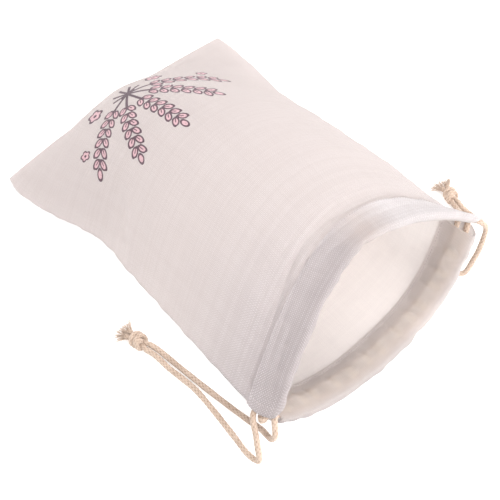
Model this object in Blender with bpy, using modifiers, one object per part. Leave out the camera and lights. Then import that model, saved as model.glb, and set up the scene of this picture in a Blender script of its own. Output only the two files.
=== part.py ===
# Linen drawstring bread bag, lying on its back panel with its mouth open.
# The sizes below are millimetres, and MM turns them into metres.
# X runs across the bag, +Y towards the closed bottom, +Z up, with the origin on the resting face.
from collections import namedtuple
from math import cos, pi, radians, sin

import bmesh
import bpy
import numpy as np
from mathutils import Matrix, Vector

MM = 0.001
CLOTH = 1.2            # thickness of the linen
SEAM_GAP = 0.3         # clearance between pieces that touch
COLUMNS = 30           # faces across a panel
BAND = 31.0            # casing, from its stitch line to the folded rim
WIDER = 0.14           # share by which it is wider at its right end
TUNNEL = 7.1           # height inside the casing, over the cords
HEM_INSET = 0.07       # share by which the turned hem is narrower than the panel
SQUARE = 0.8           # how nearly the casing's rows cross it at a right angle, away from its ends
END_BELLY = 6.5        # how far the front casing's open ends round out over the cords
END_REACH = 0.06       # share of the width over which that fades
CORD = 5.5             # diameter of the drawstrings
CORD_SPANS = 16        # straight spans of a cord through one casing
SPAN_CLOSER = 0.07     # how much closer together they are near its ends
BEND = 30.0            # turn in degrees from which a cord's span is halved
LONG_SPAN = 24.0       # length from which a cord's span is halved
LYING = CORD / 2 + 0.05     # height of a cord's middle, where it lies on the surface
ENTRY = 5.6            # height at which the cords enter a knot
ENTRY_LENGTH = 9.0     # straight end of a cord before its knot
ENTRY_ASIDE = 3.0      # from a knot's own line to the middle of each cord

LINEN = (0.87, 0.84, 0.81)
COTTON = (0.74, 0.62, 0.46)

# Cross sections from the closed seam (run 0) to the casing's stitch line (run 1). left and right are the
# side seams, top and under the middles of the two panels, full_left and full_right the roundness of the
# top on each half, and flat the share of the underside that lies on the surface.
Section = namedtuple("Section", "run left right top full_left full_right under flat full_under")
SECTIONS = [
    Section(0.00, (-152, 203, 4.0), (151, 204, 6.0), (-5, 208, 12), 2.0, 2.0, (-5, 208, 12), 0.00, 2.0),
    Section(0.04, (-155, 187, 4.6), (151, 188, 7.5), (-9, 204, 23), 1.7, 1.4, (-5, 199, 2), 0.15, 2.2),
    Section(0.10, (-153, 165, 6.0), (148, 166, 10.5), (-9, 195, 38), 1.7, 1.4, (-5, 185, 0), 0.50, 2.2),
    Section(0.20, (-147, 130, 11.0), (142, 130, 16.0), (-6, 166, 58), 1.9, 1.6, (0, 144, 0), 0.62, 2.2),
    Section(0.35, (-134, 78, 19.0), (131, 76, 23.5), (-2, 116, 79), 2.0, 2.0, (0, 81, 0), 0.64, 2.2),
    Section(0.42, (-131, 53, 22.0), (130, 54, 26.5), (0, 93, 85), 2.0, 2.1, (0, 55, 0), 0.63, 2.2),
    Section(0.50, (-134, 23, 25.0), (130, 22, 32.0), (2, 63, 91), 2.1, 2.2, (0, 19, 0), 0.62, 2.2),
    Section(0.65, (-137, -33, 29.5), (129, -34, 39.0), (5, 10, 96), 2.0, 2.2, (0, -43, 0), 0.58, 2.2),
    Section(0.80, (-140, -88, 34.0), (128, -89, 44.5), (8, -43, 96), 1.9, 2.2, (0, -105, 0), 0.52, 2.2),
    Section(0.92, (-142, -132, 37.0), (124.5, -131.5, 47), (10, -85, 92), 1.8, 2.1, (0, -155, 0), 0.45, 2.2),
    Section(1.00, (-143, -162, 38.5), (124.5, -159, 48.5), (12, -112, 88), 1.7, 2.1, (0, -187, 0), 0.40, 2.2),
]

# The folded rims, where the two casings stand apart at the side slits.
FRONT_RIM = Section(0, (-130, -196, 40.0), (138.5, -196.0, 55.0), (14, -136, 83), 1.45, 2.2, None, None, None)
BACK_RIM = Section(0, (-135, -192, 14.0), (141, -202, 28.0), None, None, None, (0, -217, 0), 0.30, 2.9)

# Rows along a panel, as shares of its run, closer together at the closed seam and behind the casing.
RUNS = (0, 0.02, 0.05, 0.09, 0.14, 0.20, 0.27, 0.34, 0.41, 0.48, 0.55, 0.62, 0.69, 0.76, 0.82, 0.88,
        0.925, 0.955, 0.98, 1.0)

# Soft folds of the top: across is the share of the width, run and reach as above, height is up (+) or down.
Fold = namedtuple("Fold", "across across_reach run run_reach height")
TOP_FOLDS = [
    Fold(0.30, 0.30, 0.975, 0.016, -1.6),
    Fold(0.66, 0.16, 0.972, 0.016, -1.5),
    Fold(0.14, 0.05, 0.90, 0.08, -1.5),
    Fold(0.22, 0.04, 0.88, 0.07, 1.2),
    Fold(0.06, 0.10, 0.42, 0.06, -4.0),
    Fold(0.95, 0.09, 0.26, 0.05, -3.0),
    Fold(0.30, 0.16, 0.24, 0.16, -2.5),
    Fold(0.70, 0.14, 0.60, 0.22, 2.0),
]

# Puckers of a casing over its cords: across and reach as shares of the width, swell of the turned hem
# into the mouth, and dip of the rim back from its line.
Pucker = namedtuple("Pucker", "across reach swell dip")
FRONT_PUCKERS = [
    Pucker(0.12, 0.04, 1.0, 0.8),
    Pucker(0.33, 0.05, 0.8, 0.5),
    Pucker(0.58, 0.05, 1.0, 0.7),
    Pucker(0.81, 0.04, 1.2, 0.9),
]
BACK_PUCKERS = [
    Pucker(0.10, 0.04, 1.4, 0.9),
    Pucker(0.24, 0.03, 1.8, 0.6),
    Pucker(0.37, 0.04, 1.3, 1.0),
    Pucker(0.49, 0.03, 2.0, 0.5),
    Pucker(0.60, 0.03, 1.6, 0.9),
    Pucker(0.72, 0.04, 1.9, 0.6),
    Pucker(0.86, 0.04, 1.4, 1.0),
]

# Where each drawstring runs inside the front and the back casing, from the stitch line towards the rim.
LEFT_CORD_REACH = (25.7, 12.0)
RIGHT_CORD_REACH = (18.0, 21.5)

# Free stretches of the drawstrings, between the knots and the casing ends.
LEFT_TAIL_UPPER = [(-159.5, -84, LYING), (-155.5, -115, LYING), (-151, -146, LYING), (-147.5, -168, 4),
                   (-146, -184, 10), (-147.5, -196, 18), (-145, -198, 27), (-138.5, -190.5, 33.8)]
LEFT_TAIL_LOWER = [(-142.8, -171.8, 34.0), (-148.5, -174.5, 31.5), (-154, -183, 25), (-160.5, -193, 16),
                   (-166, -200, 7.5), (-168, -190, 3.5), (-166.3, -170, LYING), (-163.5, -136, LYING),
                   (-162.8, -112, LYING), (-166.8, -82, LYING)]
LEFT_BRIDGE = [(135, -192.5, 48.8), (139, -196.5, 42), (137, -199.5, 32), (130, -203, 18.5),
               (121, -205, 7), (108, -206.5, LYING), (101, -198, LYING), (108, -187, LYING), (119, -180, 4),
               (129, -173, 12), (135.5, -167.5, 24), (137.5, -165, 36), (134.2, -167.8, 42.7),
               (129.1, -171.4, 45.3)]
RIGHT_TAIL_FRONT = [(166.5, -166, 5.5), (163, -175, 10), (156, -181.5, 19), (149, -187, 30), (141, -188, 41),
                    (132, -183.6, 47.2)]
RIGHT_TAIL_BACK = [(134, -179, 42.8), (140, -177, 38.5), (147, -175, 28.5), (154, -171.5, 15),
                   (159, -164.5, 6.5)]
RIGHT_BRIDGE = [(-140.0, -182.2, 33.4), (-145.0, -182.0, 31.4), (-141.8, -178.0, 29.8)]

# Knots: middle, heading in the plan (degrees from +X), half length, radius and the frayed ends' length.
Knot = namedtuple("Knot", "name middle heading half_length radius fray")
KNOTS = {
    "left": Knot("left_knot", (-170.6, -42.5, 7.4), 104.0, 11.5, 7.4, 9.0),
    "right": Knot("right_knot", (169.5, -140.4, 6.9), 72.0, 9.5, 6.9, 10.0),
}
FACE = 0.82            # where the knot is flat, as a share of its half length
# Frayed strands of a knot: sideways and upward angle in degrees, and share of the fray's length.
Strand = namedtuple("Strand", "aside up length")
STRANDS = [
    Strand(-40, -8, 0.80), Strand(-24, -13, 1.00), Strand(-8, -14, 0.90), Strand(8, -14, 1.05),
    Strand(24, -13, 0.90), Strand(40, -9, 0.95), Strand(-28, 10, 0.85), Strand(-6, 14, 1.00),
    Strand(18, 12, 0.80),
]


def smooth_between(xs, ys, x):
    """Reads a smooth curve through the rows ys, given at xs."""
    xs, ys = np.asarray(xs, float), np.asarray(ys, float)
    slopes = np.gradient(ys, xs, axis=0)
    i = int(np.clip(np.searchsorted(xs, x) - 1, 0, len(xs) - 2))
    step = xs[i + 1] - xs[i]
    t = (x - xs[i]) / step
    rise = (1 + 2 * t) * (1 - t) ** 2 * ys[i] + (3 - 2 * t) * t ** 2 * ys[i + 1]
    return rise + step * (t * (1 - t) ** 2 * slopes[i] - t ** 2 * (1 - t) * slopes[i + 1])


def section_values(section, side):
    """One section of a panel: side seams, middle, flat share and fullness on the left and right half."""
    if side == "front":
        middle, flat, full = section.top, 0.0, (section.full_left, section.full_right)
    else:
        middle, flat, full = section.under, section.flat, (section.full_under, section.full_under)
    lift = (SEAM_GAP + CLOTH) / 2 if side == "front" else -(SEAM_GAP + CLOTH) / 2
    left, right = Vector(section.left), Vector(section.right)
    middle = Vector(middle)
    if side == "front" or middle.z > 0:
        middle.z += lift
    else:
        middle.z = CLOTH / 2
    left.z += lift
    right.z += lift
    return [*left, *right, *middle, flat, *full]


def row_curve(values, shares):
    """Points of one section at shares of its length across, evenly spaced along the cloth."""
    left, right, middle = np.array(values[0:3]), np.array(values[3:6]), np.array(values[6:9])
    flat, full_left, full_right = values[9:12]
    s = np.linspace(-1, 1, 241)
    full = np.where(s < 0, full_left, full_right)
    away = np.abs(s)
    plan = 1 - away ** full
    rise = 1 - np.clip((away - flat) / (1 - flat), 0, 1) ** full
    chord = (left + right) / 2 + np.outer(s, (right - left) / 2)
    points = chord + np.outer(plan, middle - (left + right) / 2)
    points[:, 2] = middle[2] * rise + chord[:, 2] * (1 - rise)
    length = np.concatenate([[0], np.cumsum(np.linalg.norm(np.diff(points, axis=0), axis=1))])
    return np.stack([np.interp(np.asarray(shares) * length[-1], length, points[:, k]) for k in range(3)], 1)


def panel_row(side, run, shares):
    """A row of a panel at its run from the closed seam, with the soft folds of the top."""
    table = [section_values(section, side) for section in SECTIONS]
    points = row_curve(smooth_between([section.run for section in SECTIONS], table, run), shares)
    if side == "front":
        for fold in TOP_FOLDS:
            along = np.exp(-((run - fold.run) / fold.run_reach) ** 2)
            across = np.exp(-((np.asarray(shares) - fold.across) / fold.across_reach) ** 2)
            rim = np.sin(pi * np.clip(shares, 0, 1)) ** 0.5
            points[:, 2] += fold.height * along * across * rim
    else:
        points[:, 2] = np.maximum(points[:, 2], CLOTH / 2)
    return points


def casing_frame(side, shares):
    """Stitch line, way to the rim and way into the mouth of a casing, at shares across."""
    stitch = panel_row(side, 1.0, shares)
    rim = row_curve(section_values(FRONT_RIM if side == "front" else BACK_RIM, side), shares)
    onward = rim - stitch
    across = np.gradient(stitch, axis=0)
    across /= np.linalg.norm(across, axis=1)[:, None]
    slant = (onward * across).sum(axis=1) * SQUARE * np.sin(pi * np.clip(shares, 0, 1)) ** 0.5
    onward -= across * slant[:, None]
    onward /= np.linalg.norm(onward, axis=1)[:, None]
    inward = np.cross(onward, across) if side == "back" else np.cross(across, onward)
    inward /= np.linalg.norm(inward, axis=1)[:, None]
    return stitch, onward * (1 + WIDER * np.reshape(shares, (-1, 1)) ** 4), inward


def inset(shares):
    """Shares across, drawn in at both ends for the turned hem."""
    return 0.5 + (np.asarray(shares) - 0.5) * (1 - HEM_INSET)


def casing_rows(side, shares):
    """Rows of a casing: outer band, folded rim and the hem turned back to the stitch line."""
    puckers = FRONT_PUCKERS if side == "front" else BACK_PUCKERS
    bumps = [np.exp(-((np.asarray(shares) - pucker.across) / pucker.reach) ** 2) for pucker in puckers]
    swell = sum(pucker.swell * bump for pucker, bump in zip(puckers, bumps))
    dip = sum(pucker.dip * bump for pucker, bump in zip(puckers, bumps))
    height = TUNNEL + CLOTH
    radius = height / 2
    rows = [(reach, 0.0, 0.0) for reach in (6.0, 12.0, 19.0)]
    for angle in (-90, -45, 0, 45, 90):
        turn = radians(angle)
        rows.append((BAND - radius + radius * cos(turn), radius * (1 + sin(turn)), (angle + 90) / 180))
    for reach, depth in ((19.0, height), (11.0, height), (5.5, 0.7 * height), (0.0, CLOTH + SEAM_GAP)):
        rows.append((reach, depth, 1.0))
    outer, inner = casing_frame(side, shares), casing_frame(side, inset(shares))
    across = np.gradient(outer[0], axis=0)
    across /= np.linalg.norm(across, axis=1)[:, None]
    ends = np.exp(-((1 - shares) / END_REACH) ** 2) - np.exp(-(shares / END_REACH) ** 2)
    result = []
    for reach, depth, turned in rows:
        stitch, onward, inward = [(1 - turned) * a + turned * b for a, b in zip(outer, inner)]
        near_rim = reach / BAND
        out = reach - dip * near_rim ** 2
        deep = depth + swell * turned * sin(pi * min(near_rim * 1.25, 1))
        row = stitch + onward * np.reshape(out, (-1, 1)) + inward * np.reshape(deep, (-1, 1))
        if side == "front":
            belly = END_BELLY * sin(pi * min(near_rim, 1)) ** 0.5 * (1 - turned)
            row += across * (belly * ends)[:, None]
        result.append(row)
    return result


def casing_run(side, reach):
    """Middle of a cord inside a casing, from left to right."""
    even = np.linspace(0, 1, COLUMNS * CORD_SPANS + 1)
    shares = even - SPAN_CLOSER * np.sin(2 * pi * even)
    stitch, onward, inward = casing_frame(side, shares)
    return (stitch + onward * reach + inward * (CLOTH + TUNNEL) / 2)[::COLUMNS]


def smooth_stretch(before, points, after):
    """Points of a smooth curve from the last point before a stretch to the first one after it, without both.

    A span between the route's own points is halved where it bends or is long."""
    route = np.array([*before, *points, *after], float)
    spans = np.diff(route, axis=0)
    lengths = np.linalg.norm(spans, axis=1)
    along = np.concatenate([[0], np.cumsum(lengths ** 0.5)])
    ways = spans / lengths[:, None]
    turns = np.degrees(np.arccos(np.clip((ways[1:] * ways[:-1]).sum(axis=1), -1, 1)))
    turns = np.concatenate([[0], turns, [0]])
    first, last = max(len(before) - 1, 0), len(route) - 1 - max(len(after) - 1, 0)
    steps = []
    for i in range(first, last):
        halved = max(turns[i], turns[i + 1]) > BEND or lengths[i] > LONG_SPAN
        steps += [along[i], (along[i] + along[i + 1]) / 2] if halved else [along[i]]
    steps = steps[1:] if len(before) else steps
    steps = steps if len(after) else steps + [along[last]]
    points = np.array([smooth_between(along, route, step) for step in steps])
    points[:, 2] = np.maximum(points[:, 2], LYING)
    return points


def knot_axes(knot):
    """Ways along and across a knot, in the plan."""
    heading = radians(knot.heading)
    return np.array([cos(heading), sin(heading), 0]), np.array([sin(heading), -cos(heading), 0])


def knot_entry(knot, aside):
    """A cord's end, face to face with its knot, and the points of its straight length before it."""
    onward, across = knot_axes(knot)
    face = np.array(knot.middle) - onward * (FACE * knot.half_length + SEAM_GAP) + across * aside
    face[2] = ENTRY
    return [face, face - onward * ENTRY_LENGTH / 3, face - onward * ENTRY_LENGTH]


def drawstring(knot, reaches, tail_front, bridge, tail_back, from_left):
    """Centre line of a drawstring: knot, front casing, across the far slit, back casing, knot."""
    front, back = casing_run("front", reaches[0]), casing_run("back", reaches[1])[::-1]
    if not from_left:
        front, back = front[::-1], back[::-1]
    tail_in = smooth_stretch([], knot_entry(knot, ENTRY_ASIDE) + tail_front, front[:2])
    across = smooth_stretch(front[-2:], bridge, back[:2])
    tail_out = smooth_stretch(back[-2:], tail_back + knot_entry(knot, -ENTRY_ASIDE)[::-1], [])
    return np.concatenate([tail_in, front, across, back, tail_out])


def make_material(name, colour, roughness):
    """A plain Principled finish."""
    material = bpy.data.materials.new(name)
    material.use_nodes = True
    shader = material.node_tree.nodes["Principled BSDF"]
    shader.inputs["Base Color"].default_value = (*colour, 1)
    shader.inputs["Roughness"].default_value = roughness
    shader.inputs["Metallic"].default_value = 0.0
    return material


def add_object(name, data, collection, colour, roughness):
    """Puts an object of this data in the collection, with its own material."""
    data.materials.clear()
    data.materials.append(make_material(name, colour, roughness))
    piece = bpy.data.objects.new(name, data)
    collection.objects.link(piece)
    return piece


def make_panel(side, name, collection):
    """One panel: a sheet lofted through its rows, with its casing turned in, and the cloth's thickness."""
    shares = np.linspace(0, 1, COLUMNS + 1)
    rows = [panel_row(side, run, shares) for run in RUNS] + casing_rows(side, shares)
    bm = bmesh.new()
    grid = [[bm.verts.new(Vector(point) * MM) for point in row] for row in rows]
    for lower, upper in zip(grid, grid[1:]):
        for a, b, c, d in zip(lower, lower[1:], upper[1:], upper):
            bm.faces.new((a, b, c, d) if side == "back" else (d, c, b, a))
    mesh = bpy.data.meshes.new(name)
    bm.to_mesh(mesh)
    bm.free()
    mesh.shade_smooth()
    panel = add_object(name, mesh, collection, LINEN, 0.9)
    solidify = panel.modifiers.new("cloth", "SOLIDIFY")
    solidify.thickness = CLOTH * MM
    solidify.offset = 0
    return panel


def make_cord(name, route, collection):
    """A drawstring: one tube along its route, with closed ends."""
    curve = bpy.data.curves.new(name, "CURVE")
    curve.dimensions = "3D"
    curve.resolution_u = 1
    curve.render_resolution_u = 0
    curve.bevel_depth = CORD / 2 * MM
    curve.bevel_resolution = 2
    curve.use_fill_caps = True
    spline = curve.splines.new("POLY")
    spline.points.add(len(route) - 1)
    for point, place in zip(spline.points, route):
        point.co = (*(Vector(place) * MM), 1)
    return add_object(name, curve, collection, COTTON, 0.85)


def knot_mesh(knot):
    """The knot's body along its own +Z: a ball drawn out, ridged by its turns and flat where cords enter."""
    mesh = bpy.data.meshes.new(knot.name)
    bm = bmesh.new()
    bmesh.ops.create_uvsphere(bm, u_segments=16, v_segments=11, radius=1.0)
    for vert in bm.verts:
        x, y, z = vert.co
        turn = np.arctan2(y, x)
        ridge = 1 + 0.13 * cos(2 * turn + 3.4 * z) + 0.07 * cos(turn - 5.0 * z + 1.0)
        vert.co = Vector((x * ridge * knot.radius, y * ridge * knot.radius, z * knot.half_length))
        vert.co.z = max(vert.co.z, -FACE * knot.half_length)
    bm.to_mesh(mesh)
    bm.free()
    return mesh


def strand_mesh(knot, strand, number):
    """One frayed end: a thin four-sided taper from inside the knot, along the knot's own +Z."""
    mesh = bpy.data.meshes.new(f"{knot.name}_strand_{number}")
    bm = bmesh.new()
    length = knot.fray * strand.length + 0.5 * knot.half_length
    bmesh.ops.create_cone(bm, cap_ends=True, segments=4, radius1=1.5, radius2=0.45, depth=length)
    bmesh.ops.translate(bm, verts=bm.verts, vec=(0, 0, length / 2))
    lean = Matrix.Rotation(radians(strand.aside), 4, "Y") @ Matrix.Rotation(radians(strand.up), 4, "X")
    bmesh.ops.transform(bm, matrix=lean, verts=bm.verts)
    bmesh.ops.translate(bm, verts=bm.verts, vec=(0, 0, 0.62 * knot.half_length))
    bm.to_mesh(mesh)
    bm.free()
    return mesh


def make_knot(knot, collection, cutters):
    """A knot with its frayed ends, one solid, resting on the surface."""
    onward, across = [Vector(way) for way in knot_axes(knot)]
    place = Matrix((across, Vector((0, 0, 1)), onward)).transposed().to_4x4()
    place.translation = Vector(knot.middle)
    scale = Matrix.Scale(MM, 4)
    body = add_object(knot.name, knot_mesh(knot), collection, COTTON, 0.85)
    body.data.transform(scale @ place)
    for number, strand in enumerate(STRANDS):
        cutter = bpy.data.objects.new(f"{knot.name}_strand_{number}", strand_mesh(knot, strand, number))
        cutter.data.transform(scale @ place)
        cutter.hide_render = True
        cutter.display_type = "WIRE"
        cutters.objects.link(cutter)
        union = body.modifiers.new(f"strand_{number}", "BOOLEAN")
        union.operation = "UNION"
        union.solver = "EXACT"
        union.object = cutter
    body.data.shade_smooth()
    return body


def main():
    for piece in list(bpy.data.objects):
        bpy.data.objects.remove(piece)
    parts = bpy.data.collections.new("linen_bread_bag")
    cutters = bpy.data.collections.new("cutters")
    for collection in (parts, cutters):
        bpy.context.scene.collection.children.link(collection)
    make_panel("front", "front_panel", parts)
    make_panel("back", "back_panel", parts)
    left = drawstring(KNOTS["left"], LEFT_CORD_REACH, LEFT_TAIL_UPPER, LEFT_BRIDGE, LEFT_TAIL_LOWER, True)
    right = drawstring(KNOTS["right"], RIGHT_CORD_REACH, RIGHT_TAIL_FRONT, RIGHT_BRIDGE, RIGHT_TAIL_BACK,
                       False)
    make_cord("left_drawstring", left, parts)
    make_cord("right_drawstring", right, parts)
    for knot in KNOTS.values():
        make_knot(knot, parts, cutters)


main()
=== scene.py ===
from math import cos, pi, radians, sin, sqrt

import bmesh
import bpy
import numpy as np
from mathutils import Matrix, Vector


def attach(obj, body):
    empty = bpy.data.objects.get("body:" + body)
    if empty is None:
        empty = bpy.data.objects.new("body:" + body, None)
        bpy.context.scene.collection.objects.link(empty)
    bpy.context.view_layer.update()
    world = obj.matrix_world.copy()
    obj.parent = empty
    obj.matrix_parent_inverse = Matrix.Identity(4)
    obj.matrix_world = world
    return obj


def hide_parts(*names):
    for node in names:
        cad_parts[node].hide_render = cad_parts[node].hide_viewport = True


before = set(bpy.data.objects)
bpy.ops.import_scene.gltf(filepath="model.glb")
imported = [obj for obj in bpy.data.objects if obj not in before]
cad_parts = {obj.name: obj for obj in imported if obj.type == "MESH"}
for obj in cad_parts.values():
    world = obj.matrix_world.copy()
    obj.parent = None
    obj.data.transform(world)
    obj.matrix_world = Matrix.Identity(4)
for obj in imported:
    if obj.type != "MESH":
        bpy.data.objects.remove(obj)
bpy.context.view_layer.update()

mm = 0.001
scene = bpy.context.scene
print("linen bread bag: frame loaded")

# What the bag's shape comes from, in millimetres. x runs across the bag, y towards its closed bottom.
# A section is: run, left seam, right seam, middle of the top, its roundness left and right,
# middle of the underside, share of it that lies flat, its roundness.
bagShape = {
    "sections": [
        (0.00, (-152, 203, 4.0), (151, 204, 6.0), (-5, 208, 12), 2.0, 2.0, (-5, 208, 12), 0.00, 2.0),
        (0.04, (-155, 187, 4.6), (151, 188, 7.5), (-9, 204, 23), 1.7, 1.4, (-5, 199, 2), 0.15, 2.2),
        (0.10, (-153, 165, 6.0), (148, 166, 10.5), (-9, 195, 38), 1.7, 1.4, (-5, 185, 0), 0.50, 2.2),
        (0.20, (-147, 130, 11.0), (142, 130, 16.0), (-6, 166, 58), 1.9, 1.6, (0, 144, 0), 0.62, 2.2),
        (0.35, (-134, 78, 19.0), (131, 76, 23.5), (-2, 116, 79), 2.0, 2.0, (0, 81, 0), 0.64, 2.2),
        (0.42, (-131, 53, 22.0), (130, 54, 26.5), (0, 93, 85), 2.0, 2.1, (0, 55, 0), 0.63, 2.2),
        (0.50, (-134, 23, 25.0), (130, 22, 32.0), (2, 63, 91), 2.1, 2.2, (0, 19, 0), 0.62, 2.2),
        (0.65, (-137, -33, 29.5), (129, -34, 39.0), (5, 10, 96), 2.0, 2.2, (0, -43, 0), 0.58, 2.2),
        (0.80, (-140, -88, 34.0), (128, -89, 44.5), (8, -43, 96), 1.9, 2.2, (0, -105, 0), 0.52, 2.2),
        (0.92, (-142, -132, 37.0), (124.5, -131.5, 47), (10, -85, 92), 1.8, 2.1, (0, -155, 0), 0.45, 2.2),
        (1.00, (-143, -162, 38.5), (124.5, -159, 48.5), (12, -112, 88), 1.7, 2.1, (0, -187, 0), 0.40, 2.2),
    ],
    "frontRim": (0, (-130, -196, 40.0), (138.5, -196.0, 55.0), (14, -136, 83), 1.45, 2.2, None, None, None),
    "backRim": (0, (-135, -192, 14.0), (141, -202, 28.0), None, None, None, (0, -217, 0), 0.30, 2.9),
    "sheet": 1.2, "seamGap": 0.3,          # as the solids have them
    "cloth": 0.9,                          # thickness of the linen seen here
    "band": 31.0, "widerRight": 0.14, "tunnel": 7.1, "hemInset": 0.07, "square": 0.8,
    "endBelly": 6.5, "endReach": 0.06,
    "hemFall": [(-3.0, 0.0), (0.0, 0.12), (3.0, 0.32), (6.0, 0.55), (9.0, 0.81), (10.5, 0.93), (12.0, 1.0)],
    "columns": 150, "bodyRows": 150, "seamRound": 0.75,
}

# Long soft folds of the top: across, its reach, run, its reach, height.
topFolds = [
    (0.30, 0.30, 0.975, 0.016, -1.6), (0.66, 0.16, 0.972, 0.016, -1.5), (0.14, 0.05, 0.90, 0.08, -1.5),
    (0.22, 0.04, 0.88, 0.07, 1.2), (0.06, 0.10, 0.42, 0.06, -4.0), (0.95, 0.09, 0.26, 0.05, -3.0),
    (0.30, 0.16, 0.24, 0.16, -2.5), (0.70, 0.14, 0.60, 0.22, 2.0),
]
# Puckers of each casing over its cords: across, reach, swell of the hem, dip of the rim.
frontPuckers = [(0.12, 0.04, 1.0, 0.8), (0.33, 0.05, 0.8, 0.5), (0.58, 0.05, 1.0, 0.7),
                (0.81, 0.04, 1.2, 0.9)]
backPuckers = [(0.10, 0.04, 1.4, 0.9), (0.24, 0.03, 1.8, 0.6), (0.37, 0.04, 1.3, 1.0), (0.49, 0.03, 2.0, 0.5),
               (0.60, 0.03, 1.6, 0.9), (0.72, 0.04, 1.9, 0.6), (0.86, 0.04, 1.4, 1.0)]


def bell(away, reach):
    return np.exp(-(away / reach) ** 2)


def runLengths(points):
    # How far along a line each of its points lies.
    return np.concatenate([[0], np.cumsum(np.linalg.norm(np.diff(points, axis=0), axis=1))])


def smoothBetween(xs, ys, x):
    xs, ys = np.asarray(xs, float), np.asarray(ys, float)
    slopes = np.gradient(ys, xs, axis=0)
    i = int(np.clip(np.searchsorted(xs, x) - 1, 0, len(xs) - 2))
    step = xs[i + 1] - xs[i]
    t = (x - xs[i]) / step
    rise = (1 + 2 * t) * (1 - t) ** 2 * ys[i] + (3 - 2 * t) * t ** 2 * ys[i + 1]
    return rise + step * (t * (1 - t) ** 2 * slopes[i] - t ** 2 * (1 - t) * slopes[i + 1])


def sectionValues(section, side):
    run, left, right, top, fullLeft, fullRight, under, flat, fullUnder = section
    if side == "front":
        middle, flat, full = top, 0.0, (fullLeft, fullRight)
    else:
        middle, full = under, (fullUnder, fullUnder)
    half = (bagShape["seamGap"] + bagShape["sheet"]) / 2
    lift = half if side == "front" else -half
    left, right, middle = Vector(left), Vector(right), Vector(middle)
    if side == "front" or middle.z > 0:
        middle.z += lift
    else:
        middle.z = bagShape["sheet"] / 2
    left.z += lift
    right.z += lift
    return [*left, *right, *middle, flat, *full]


def rowCurve(values, shares):
    left, right, middle = np.array(values[0:3]), np.array(values[3:6]), np.array(values[6:9])
    flat, fullLeft, fullRight = values[9:12]
    s = np.linspace(-1, 1, 481)
    full = np.where(s < 0, fullLeft, fullRight)
    away = np.abs(s)
    plan = 1 - away ** full
    rise = 1 - np.clip((away - flat) / (1 - flat), 0, 1) ** full
    chord = (left + right) / 2 + np.outer(s, (right - left) / 2)
    points = chord + np.outer(plan, middle - (left + right) / 2)
    points[:, 2] = middle[2] * rise + chord[:, 2] * (1 - rise)
    length = runLengths(points)
    return np.stack([np.interp(np.asarray(shares) * length[-1], length, points[:, k]) for k in range(3)], 1)


def panelRow(side, run, shares):
    table = [sectionValues(section, side) for section in bagShape["sections"]]
    values = smoothBetween([section[0] for section in bagShape["sections"]], table, run)
    held = sin(pi * min(max(run, 0), 1)) ** 0.5
    values[0] += 0.45 * held * (sin(run * 71) + 0.7 * sin(run * 127 + 1.0))       # side seams waver a little
    values[3] += 0.40 * held * (sin(run * 63 + 2.0) + 0.7 * sin(run * 139))
    points = rowCurve(values, shares)
    if side == "front":
        for across, acrossReach, foldRun, runReach, height in topFolds:
            along = bell(run - foldRun, runReach)
            spread = bell(np.asarray(shares) - across, acrossReach)
            points[:, 2] += height * along * spread * np.sin(pi * np.clip(shares, 0, 1)) ** 0.5
    else:
        points[:, 2] = np.maximum(points[:, 2], bagShape["sheet"] / 2)
    return points


def unit(vectors):
    return vectors / np.maximum(np.linalg.norm(vectors, axis=-1, keepdims=True), 1e-9)


def casingFrame(side, shares):
    stitch = panelRow(side, 1.0, shares)
    rim = rowCurve(sectionValues(bagShape["frontRim" if side == "front" else "backRim"], side), shares)
    onward = rim - stitch
    across = unit(np.gradient(stitch, axis=0))
    slant = (onward * across).sum(axis=1) * bagShape["square"] * np.sin(pi * np.clip(shares, 0, 1)) ** 0.5
    onward = unit(onward - across * slant[:, None])
    inward = unit(np.cross(onward, across) if side == "back" else np.cross(across, onward))
    return stitch, onward * (1 + bagShape["widerRight"] * np.reshape(shares, (-1, 1)) ** 4), inward


def casingProfile():
    # Reach from the stitch line, depth into the mouth and how far the cloth has turned, along the casing.
    height = bagShape["tunnel"] + bagShape["sheet"]
    radius = height / 2
    straight = bagShape["band"] - radius
    profile = [(reach, 0.0, 0.0) for reach in np.linspace(1.2, straight, 20)]
    for angle in np.linspace(-90, 90, 15)[1:]:
        turn = radians(angle)
        profile.append((straight + radius * cos(turn), radius * (1 + sin(turn)), (angle + 90) / 180))
    end = bagShape["sheet"] + bagShape["seamGap"] - 0.2
    fallReach, heightKept = zip(*bagShape["hemFall"])
    for reach in np.linspace(straight, fallReach[-1], 12)[1:]:
        profile.append((reach, height, 1.0))
    for reach in np.linspace(fallReach[-1], fallReach[0], 18)[1:]:      # down to where the hem is sewn
        kept = float(np.interp(reach, fallReach, heightKept))
        profile.append((reach, end + (height - end) * kept, 1.0))
    return profile


def casingRows(side, shares):
    puckers = frontPuckers if side == "front" else backPuckers
    bumps = [bell(shares - across, reach) for across, reach, swell, dip in puckers]
    swell = sum(pucker[2] * bump for pucker, bump in zip(puckers, bumps))
    dip = sum(pucker[3] * bump for pucker, bump in zip(puckers, bumps))
    outer = casingFrame(side, shares)
    inner = casingFrame(side, 0.5 + (shares - 0.5) * (1 - bagShape["hemInset"]))
    across = unit(np.gradient(outer[0], axis=0))
    ends = bell(1 - shares, bagShape["endReach"]) - bell(shares, bagShape["endReach"])
    result = []
    for reach, depth, turned in casingProfile():
        stitch, onward, inward = [(1 - turned) * a + turned * b for a, b in zip(outer, inner)]
        nearRim = max(reach, 0) / bagShape["band"]
        out = reach - dip * nearRim ** 2
        deep = depth + swell * turned * sin(pi * min(nearRim * 1.25, 1))
        row = stitch + onward * out[:, None] + inward * deep[:, None]
        if side == "front":
            belly = bagShape["endBelly"] * sin(pi * min(nearRim, 1)) ** 0.5 * (1 - turned)
            row += across * (belly * ends)[:, None]
        result.append(row)
    return result


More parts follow.
